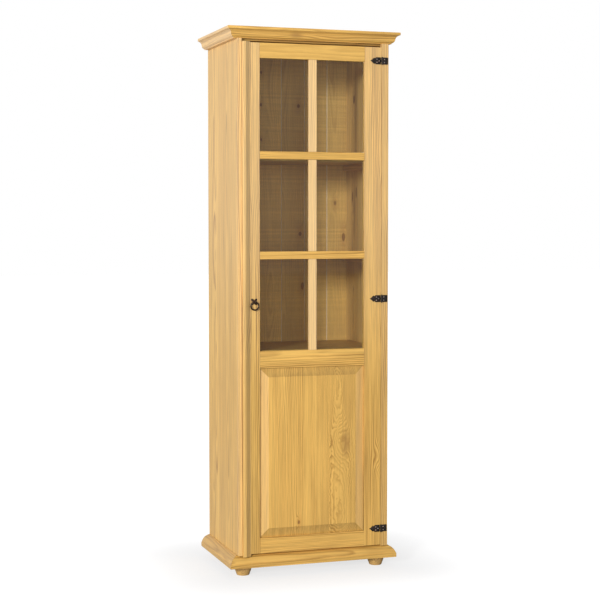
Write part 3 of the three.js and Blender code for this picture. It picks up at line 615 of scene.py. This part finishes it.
def raised_panel(material):
    """The panel: its height above the back is a function of the distance in from its edge, carried round
    four sides that meet in mitres. A thin edge, a hollowed bevel, a small quirk, then the flat field."""
    lo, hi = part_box("panel")
    reach = 7.7
    thin, rise, bevel = 6.0, 7.0, 33.0
    t = np.linspace(0, 1, 15)
    slope_in = reach + bevel * t
    slope_up = thin + (rise - 0.9) * (t - 0.055 * np.sin(np.pi * t))
    field, full = reach + bevel, thin + rise
    ins = np.concatenate([[0, 0, 0.4, reach * 0.6], slope_in, [field + 0.15, field + 0.5, field + 1.1]])
    ups = np.concatenate([[0, thin - 0.4, thin, thin], slope_up, [full - 0.35, full - 0.06, full]])
    ins, y = ins * MM, hi.y - ups * MM
    x0, x1, z0, z1 = lo.x + ins, hi.x - ins, lo.z + ins, hi.z - ins
    rings = np.stack([np.stack(c, -1) for c in ((x0, y, z0), (x1, y, z0), (x1, y, z1), (x0, y, z1))], 1)
    obj = made("panel_raised", rings.reshape(-1, 3), tube_faces(len(ins), 4), 7)
    return settle(obj, "panel", material)


def turned(profile, sides):
    """A profile of radius and height turned about the upright axis; both ends lie on the axis or close as
    discs."""
    angle = np.linspace(0, 2 * np.pi, sides, endpoint=False)
    ring = np.stack([np.cos(angle), np.sin(angle)], -1)
    radius, height = profile[:, 0], profile[:, 1]
    xy = radius[:, None, None] * ring[None]
    z = np.broadcast_to(height[:, None, None], (*xy.shape[:2], 1))
    return np.concatenate([xy, z], -1).reshape(-1, 3)


def bun_foot(node, material):
    """A turned foot: a flat tread, a bun that is fullest high up, and a flat top under the plinth."""
    lo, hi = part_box(node)
    top, full, tread = (hi.z - lo.z) / MM, (hi.x - lo.x) / 2 / MM, 23.0
    spread = full - tread
    side = np.array([(0.0, 0.0), (0.10, 0.06), (0.24, 0.16), (0.42, 0.29), (0.60, 0.41), (0.76, 0.52),
                     (0.88, 0.63), (0.96, 0.74), (1.0, 0.85), (0.995, 0.92), (0.97, 0.97), (0.90, 1.0)])
    bun = np.stack([tread + spread * side[:, 0], 0.4 + (top - 0.4) * side[:, 1]], -1)
    outline = np.vstack([[(tread - 1.2, 0)], bun]) * MM
    points = turned(outline, 72) + np.array([(lo.x + hi.x) / 2, (lo.y + hi.y) / 2, lo.z])
    obj = made(node + "_turned", points, tube_faces(len(outline), 72), 40)
    return settle(obj, node, material)


def stack(parts):
    """Joins (points, faces) pairs into one, each part's faces counted on from the points before it."""
    points, faces, marks = [], [], []
    for p, f, mark in parts:
        first = sum(len(q) for q in points)
        faces += [[v + first for v in face] for face in f]
        points.append(p)
        marks += [mark] * len(f)
    return np.vstack(points), faces, marks


def slab(outline, y0, y1, edge):
    """A flat plate in the XZ plane between y0 and y1; its front edge is drawn in twice to round it over."""
    middle = outline.mean(0)
    rings = []
    for y, draw in ((y1, 0.0), (y0 + edge, 0.0), (y0 + edge * 0.3, edge * 0.35), (y0, edge)):
        away = outline - middle
        size = np.linalg.norm(away, axis=1, keepdims=True)
        ring = middle + away * (1 - draw / np.maximum(size, 1e-9))
        rings.append(np.stack([ring[:, 0], np.full(len(ring), y), ring[:, 1]], -1))
    return np.vstack(rings), tube_faces(len(rings), len(outline))


def nail(x, z, y, radius, out):
    """A forged nail head: a low dome, standing on the plane y and facing forwards."""
    t = np.linspace(0, np.pi / 2, 6)
    profile = np.stack([radius * np.cos(t), out * (0.25 + 0.75 * np.sin(t))], -1)
    profile = np.vstack([[(radius, -0.4 * MM)], profile[:-1], [(radius * 0.12, out)]])
    p = turned(profile, 16)
    return np.stack([p[:, 0] + x, y - p[:, 2], p[:, 1] + z], -1), tube_faces(len(profile), 16)


def barrel(x, y, z0, z1, radius):
    """A rolled knuckle: a short upright cylinder with rounded ends and a slight waist."""
    h = z1 - z0
    t = np.array([0.0, 0.03, 0.09, 0.3, 0.5, 0.7, 0.91, 0.97, 1.0])
    r = np.array([0.86, 0.95, 1.0, 0.985, 0.98, 0.985, 1.0, 0.95, 0.86]) * radius
    p = turned(np.stack([r, z0 + h * t], -1), 28)
    return p + np.array([x, y, 0]), tube_faces(len(t), 28)


def hinges(iron, heads):
    """Surface hinges: each leaf is a forged plate with its knuckles rolled on, and nail heads over it."""
    for place in ("bottom", "middle", "top"):
        lo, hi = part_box(f"hinge_{place}_pin")
        x, y, z = ((a + b) / 2 for a, b in zip(lo, hi))
        name = f"hinge_{place}_frame_leaf"
        leaf_lo, leaf_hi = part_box(name)
        half = (leaf_hi.z - leaf_lo.z) / 2
        radius = 4.0 * MM
        rear = y + radius
        face = rear - 1.8 * MM
        third = 2 * half / 3
        gap = 0.2 * MM
        spans = [(z - half, z - half + third - gap), (z - third / 2 + gap, z + third / 2 - gap),
                 (z + half - third + gap, z + half)]
        left, right = 4.6 * MM, leaf_hi.x - x
        cut = right - 1.5 * MM
        plate = np.array([(left, -half), (cut, -half), (right, -half * 0.86), (right, half * 0.86),
                          (cut, half), (left, half)]) + np.array([x, z])
        parts = [(*slab(plate, face, rear, 0.6 * MM), 0)]
        for low, high in (spans[0], spans[2]):
            tab = np.array([(x, low), (x + 6 * MM, low), (x + 6 * MM, high), (x, high)])
            parts.append((*slab(tab, face, rear, 0.3 * MM), 0))
            parts.append((*barrel(x, y, low, high, radius), 0))
        for side, up in ((10, 6), (10, -6)):
            parts.append((*nail(x + side * MM, z + up * MM, face, 2.0 * MM, 1.0 * MM), 1))
        points, faces, marks = stack(parts)
        obj = made(name + "_forged", points, faces, 40, marks)
        settle(obj, name, iron, (heads,))

        edge = [(4.6, -1), (23, -1), (24.5, -0.92), (26.2, -0.76), (27.6, -0.70), (29.0, -0.74), (31, -0.88),
                (33.2, -0.76), (36, -0.55), (39.6, -0.31), (46, 0)]
        upper = [(a, -b) for a, b in edge[-2::-1]]
        outline = np.array([(x - a * MM, z + b * half) for a, b in edge + upper])
        parts = [(*slab(outline, face, rear, 0.6 * MM), 0)]
        low, high = spans[1]
        tab = np.array([(x - 6 * MM, low), (x, low), (x, high), (x - 6 * MM, high)])
        parts.append((*slab(tab, face, rear, 0.3 * MM), 0))
        parts.append((*barrel(x, y, low, high, radius), 0))
        for side, up in ((20, 6), (20, -6), (11, 0)):
            parts.append((*nail(x - side * MM, z + up * MM, face, 2.0 * MM, 1.0 * MM), 1))
        points, faces, marks = stack(parts)
        name = f"hinge_{place}_door_leaf"
        obj = made(name + "_forged", points, faces, 40, marks)
        settle(obj, name, iron, (heads,))

        low, high = lo.z, hi.z
        t = np.array([0, 0.25, 0.8, 1.0]) * 1.4 * MM
        r = np.array([1.6, 2.3, 2.6, 2.5]) * MM
        foot = np.stack([r, low + t], -1)
        head = np.stack([r[::-1], high - t[::-1]], -1)
        neck = np.array([(1.6 * MM, low + 1.45 * MM), (1.6 * MM, high - 1.45 * MM)])
        points = turned(np.vstack([foot, neck, head]), 20) + np.array([x, y, 0])
        name = f"hinge_{place}_pin"
        obj = made(name + "_riveted", points, tube_faces(10, 20), 40)
        settle(obj, name, iron)


def ring_points(centre, big, small, steps, sides, normal, beat=0.0):
    """A ring: a circle of `small` carried round a circle of `big`; hammer blows flatten it a little as it
    turns."""
    u = np.linspace(0, 2 * np.pi, steps, endpoint=False)[:, None]
    v = np.linspace(0, 2 * np.pi, sides, endpoint=False)[None, :]
    wire = small * (1 + beat * (0.5 * np.sin(9 * u + 1) * np.cos(2 * v) + 0.5 * np.sin(14 * u + 3 * v)))
    a = (big + wire * np.cos(v)) * np.cos(u)
    b = (big + wire * np.cos(v)) * np.sin(u)
    c = wire * np.sin(v)
    order = {"x": (c, a, b), "y": (a, c, b)}[normal]
    points = np.stack(order, -1).reshape(-1, 3) + np.array(centre)
    i, j = np.meshgrid(np.arange(steps), np.arange(sides), indexing="ij")
    quads = np.stack([i * sides + j, ((i + 1) % steps) * sides + j,
                      ((i + 1) % steps) * sides + (j + 1) % sides, i * sides + (j + 1) % sides], -1)
    return points, quads.reshape(-1, 4).tolist()


def ring_pull(iron):
    """The pull: a plate of four petals, domed towards its middle, an eye on a stem, and the ring that
    hangs in it."""
    lo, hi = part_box("pull_ring")
    wire = 2.8 * MM
    big = (hi.x - lo.x) / 2 - wire
    pivot = next(j for j in frame["joints"] if j["name"] == "ring_swing")["pos_m"]
    x, y, z = pivot
    points, faces = ring_points((x, y, z - big), big, wire, 96, 18, "y", 0.05)
    obj = made("pull_ring_forged", points, faces, 180)
    settle(obj, "pull_ring", iron)

    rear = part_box("stile_left")[0].y - 0.2 * MM
    turn = np.linspace(0, 2 * np.pi, 96, endpoint=False)[None, :]
    out = np.linspace(1, 0.04, 14)[:, None]
    lobe = np.abs(np.sin(2 * turn)) ** 1.3
    reach = (5.4 + 10.0 * lobe) * MM
    high = 2.4 * MM * np.sqrt(np.clip(1 - out ** 5, 0, 1)) + 0.9 * MM * (1 - out) ** 1.5
    vein = 0.35 * MM * np.exp(-((1 - lobe) * 9) ** 2) * np.sin(np.pi * out)
    side, up = reach * np.cos(turn), reach * np.sin(turn)
    front = np.stack([x + side * out, rear - (high - vein), z + up * out], -1)
    back = np.stack([x + side, np.full_like(turn, rear), z + up], -1)
    plate = np.concatenate([back, front]).reshape(-1, 3)
    eye = ring_points((x, y, z), 5.4 * MM, 1.9 * MM, 40, 12, "x", 0.03)
    stem = turned(np.array([(2.6, -0.5), (3.2, 1.4), (2.7, 2.6), (2.5, 4.0)]) * MM, 20)
    stem = np.stack([stem[:, 0] + x, rear - stem[:, 2], stem[:, 1] + z], -1)
    shank = turned(np.array([(2.2, 0.3), (2.2, -18.6)]) * MM, 16)
    shank = np.stack([shank[:, 0] + x, rear - shank[:, 2], shank[:, 1] + z], -1)
    points, faces, _ = stack([(plate, tube_faces(15, 96), 0), (*eye, 0), (stem, tube_faces(4, 20), 0),
                              (shank, tube_faces(2, 16), 0)])
    obj = made("pull_plate_forged", points, faces, 40)
    settle(obj, "pull_plate", iron)


# ---------------------------------------------------------------- the cabinet

def plank(aside, behind):
    """One stave, wider than any board here, with its pith so far aside of the board's edge and so far
    behind it."""
    return [(9, aside, behind)]


def wood(node, axes, **cut):
    """The node's own pine: the axes across, deep and along the grain, counted from the corner of its box."""
    return pine("pine_" + node, axes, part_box(node)[0], **cut)


def carcase_woods():
    """Every carcase board with its own cut of pine, then the cleats, then the sawn back boards."""
    wide = BACK - BOX_FRONT
    # The first two marks, long and soft, are a painted shadow of the upright glazing bar on the right side's inner
    # face; the last two are knots.
    knots_and_painted_bar_shadow = [(0.272, 1.66, 11.0, 0.55, 1.0, 0.07), (0.283, 1.26, 10.0, 0.5, 1.0, 0.09),
               (0.304, 1.318, 5.0, 0.9, 3.0, 0.30), (0.264, 1.335, 5.0, 0.8, 3.0, 0.30)]
    rows = {
        "side_left": ("yxz", dict(staves=cuts(wide, 4, 3), seed=3, stray=0.05, rings=7.0, contrast=0.95,
                                  bloom=(0.05, 0.11))),
        # The right side is set darker than the left: painted shade on the wall that the key lights through the
        # panes.
        "side_right": ("yxz", dict(staves=cuts(wide, 4, 8), seed=8, tone=0.92, warm=-0.3, stray=0.06,
                                   rings=6.5, bloom=(0.05, 0.05), knots=knots_and_painted_bar_shadow)),
        "front_strip_left": ("xyz", dict(staves=plank(0.09, 0.03), seed=12, tone=1.05, bloom=(0.08, 0.12))),
        "front_strip_right": ("xyz", dict(staves=plank(-0.07, 0.03), seed=14, tone=0.88, warm=0.3,
                                          bloom=(0.03, 0.09))),
        "bottom_board": ("yzx", dict(staves=cuts(SHELF_DEEP, 4, 21), seed=21, tone=0.95, stray=0.15)),
        "shelf_middle": ("yzx", dict(staves=cuts(SHELF_DEEP, 4, 22), seed=22, tone=0.82, stray=0.15)),
        "shelf_lower": ("yzx", dict(staves=cuts(SHELF_DEEP, 4, 23), seed=23, tone=0.82, stray=0.15)),
        "shelf_upper": ("yzx", dict(staves=cuts(SHELF_DEEP, 4, 24), seed=24, tone=0.82, stray=0.15)),
        # The top board is made much darker than the shelves: painted shade on the inside of the top, seen through
        # the gap over the door.
        "top_board": ("yzx", dict(staves=cuts(SHELF_DEEP, 4, 25), seed=25, tone=0.60, stray=0.1)),
        "cornice_cover": ("yzx", dict(staves=cuts(wide, 5, 26), seed=26, tone=0.95, stray=0.2)),
        "plinth_back": ("zyx", dict(seed=27, tone=0.9)),
    }
    for node, (axes, cut) in rows.items():
        board(node, wood(node, axes, **cut), FINE_ARRIS if "strip" in node else ARRIS)
    for n, place in enumerate(("lower_left", "lower_right", "upper_left", "upper_right")):
        node = "cleat_" + place
        board(node, wood(node, "zxy", seed=31 + n, tone=1.05, contrast=0.5, bloom=(0.05, 0.05)), ARRIS)
    knots = {3: [(0.012, 1.80, 2.8, 0.8, 3.0, 0.66), (0.011, 1.675, 3.4, 0.8, 3.0, 0.66),
                 (0.013, 1.54, 2.6, 0.7, 3.0, 0.66)],
             4: [(0.071, 1.674, 4.6, 0.8, 3.0, 0.8), (0.078, 1.173, 5.0, 0.75, 3.0, 0.8),
                 (0.088, 0.967, 5.0, 0.65, 3.0, 0.5)],
             6: [(0.035, 1.295, 4.0, 0.6, 3.0, 0.66), (0.071, 1.160, 5.0, 0.8, 3.0, 0.4)]}
    pith_aside = (0.05, -0.02, 0.04, 0.0, -0.05, 0.03)
    # Painted light and shade: the boards on the left, which the left stile shades from the key, are made paler,
    # and those on the right, which the key lights through the panes, darker.
    tones_with_painted_light_and_shade = (1.05, 1.09, 1.08, 0.94, 0.92, 0.90)
    for n, (aside, tone) in enumerate(zip(pith_aside, tones_with_painted_light_and_shade)):
        node = f"back_board_{n + 1}"
        sawn = wood(node, "xyz", staves=plank(aside, 0.035), seed=41 + n, tone=tone, warm=-0.4, saw=0.60,
                    bloom=(0.03, 0.03), rings=6.0, contrast=0.40, knots=knots.get(n + 1, ()), bare=True)
        board(node, sawn, 0.5 * MM)


def door_woods():
    """The door's frame, its glazing bars and beads, the raised panel and the closing strip."""
    rows = {
        "stile_left": ("xyz", dict(staves=plank(0.13, 0.05), seed=51, tone=0.87, rings=6.0, contrast=1.25,
                                   bloom=(0.0, 0.10))),
        "stile_right": ("xyz", dict(staves=plank(0.125, 0.05), seed=52, tone=1.0, warm=0.2, bloom=(0.0, 0.09),
                                    rings=4.8, bend=0.45, contrast=1.2,
                                    knots=[(0.062, 0.335, 8.0, 0.1, 3.6, 0.9)])),
        "rail_top": ("zyx", dict(staves=plank(0.03, 0.09), seed=53, tone=0.97, warm=0.1, rings=8.0,
                                 contrast=0.35)),
        "rail_middle": ("zyx", dict(staves=plank(0.05, 0.05), seed=54, tone=0.92, warm=0.3, rings=5.0,
                                    contrast=1.2, bend=0.6)),
        "rail_bottom": ("zyx", dict(staves=plank(-0.07, 0.05), seed=55, tone=1.02, warm=0.3, rings=5.0,
                                    contrast=1.2, bend=0.6)),
        "muntin_upright": ("xyz", dict(staves=plank(0.06, 0.03), seed=56, tone=0.92, contrast=0.7,
                                       bloom=(0.14, 0.16))),
        "muntin_lower": ("zyx", dict(staves=plank(0.04, 0.03), seed=57, tone=1.0, warm=0.4)),
        "muntin_upper": ("zyx", dict(staves=plank(0.05, 0.03), seed=58, tone=1.0, warm=0.4)),
    }
    for node, (axes, cut) in rows.items():
        board(node, wood(node, axes, **cut), 0.9 * MM)
    for n, (place, axes) in enumerate((("left", "xyz"), ("right", "xyz"), ("bottom", "zyx"), ("top", "zyx"))):
        node = "bead_" + place
        board(node, wood(node, axes, seed=61 + n, tone=0.98, contrast=0.6), FINE_ARRIS)
    figure = [(0.158, 0.057, 3.6, 0.75, 3.0, 0.66), (0.320, 0.348, 12.0, 0.0, 8.0, 0.60),
              (0.344, 0.345, 15.0, 0.42, 0.0, 0.36), (0.352, 0.52, 20.0, 0.22, 0.0, 0.2)]
    raised_panel(wood("panel", "xyz", staves=[(0.228, 0.19, 0.05, 5.0), (0.200, -0.008, 0.030, 3.1)], seed=71,
                      tone=1.02, warm=0.2, ripple=5.5, contrast=0.85, cut_pale=0.05, knots=figure))
    # The closing strip's falling slope is darkened in its colour: painted shade.
    closing_strip(wood("closing_strip", "xyz", staves=plank(0.08, 0.03), seed=72, tone=0.98, contrast=0.7,
                       bloom=(0.03, 0.10), cut_dark=0.74))


def mouldings():
    """Cornice, plinth and feet. The side bars are made paler than the front: painted sheen."""
    sides = (("front", "zyx"), ("left", "zxy"), ("right", "zxy"))
    crown = [wood("cornice_" + side, axes, staves=plank(0.05, 0.05), seed=81 + n, tone=0.99, warm=0.35,
                  bloom=(0.0, 0.22 * (n > 0)), contrast=(0.95, 0.5, 0.5)[n],
                  knots=[(0.018, 0.262, 9.0, 0.42, 2.0, 0.4)] if n == 0 else ())
             for n, (side, axes) in enumerate(sides)]
    base = [wood("plinth_" + side, axes, staves=plank(0.05, 0.05), seed=84 + n, tone=0.86, warm=0.4,
                 contrast=0.85, bloom=(0.07 * (n > 0), 0.0))
            for n, (side, axes) in enumerate(sides)]
    moulding_frame("cornice", cornice_outline(), crown)
    moulding_frame("plinth", plinth_outline(), base)
    for n, place in enumerate(("front_left", "front_right", "back_left", "back_right")):
        node = "foot_" + place
        bun_foot(node, wood(node, "xyz", staves=plank(0.02, 0.02), seed=91 + n, tone=1.12, warm=0.2,
                            bloom=(0.05, 0.05), rings=4.0))


def fittings():
    """Hinges, pull, glass and catch."""
    iron = hammered_iron("black_iron")
    # The nail heads are a much paler iron than the plates.
    heads = hammered_iron("rubbed_iron", base=(0.30, 0.26, 0.25), dents=900.0, rough=0.34)
    hinges(iron, heads)
    ring_pull(hammered_iron("ring_iron", base=(0.040, 0.026, 0.017), dents=420.0, rough=0.36))
    board("glass", window_glass("window_glass"), FINE_ARRIS)
    board("catch_magnet", brown_plastic("brown_plastic"), 1.0 * MM)
    board("catch_strike", bright_steel("bright_steel", (0.55, 0.55, 0.54), 0.3), 0.2 * MM)


set_camera()
set_studio()
carcase_woods()
door_woods()
mouldings()
fittings()
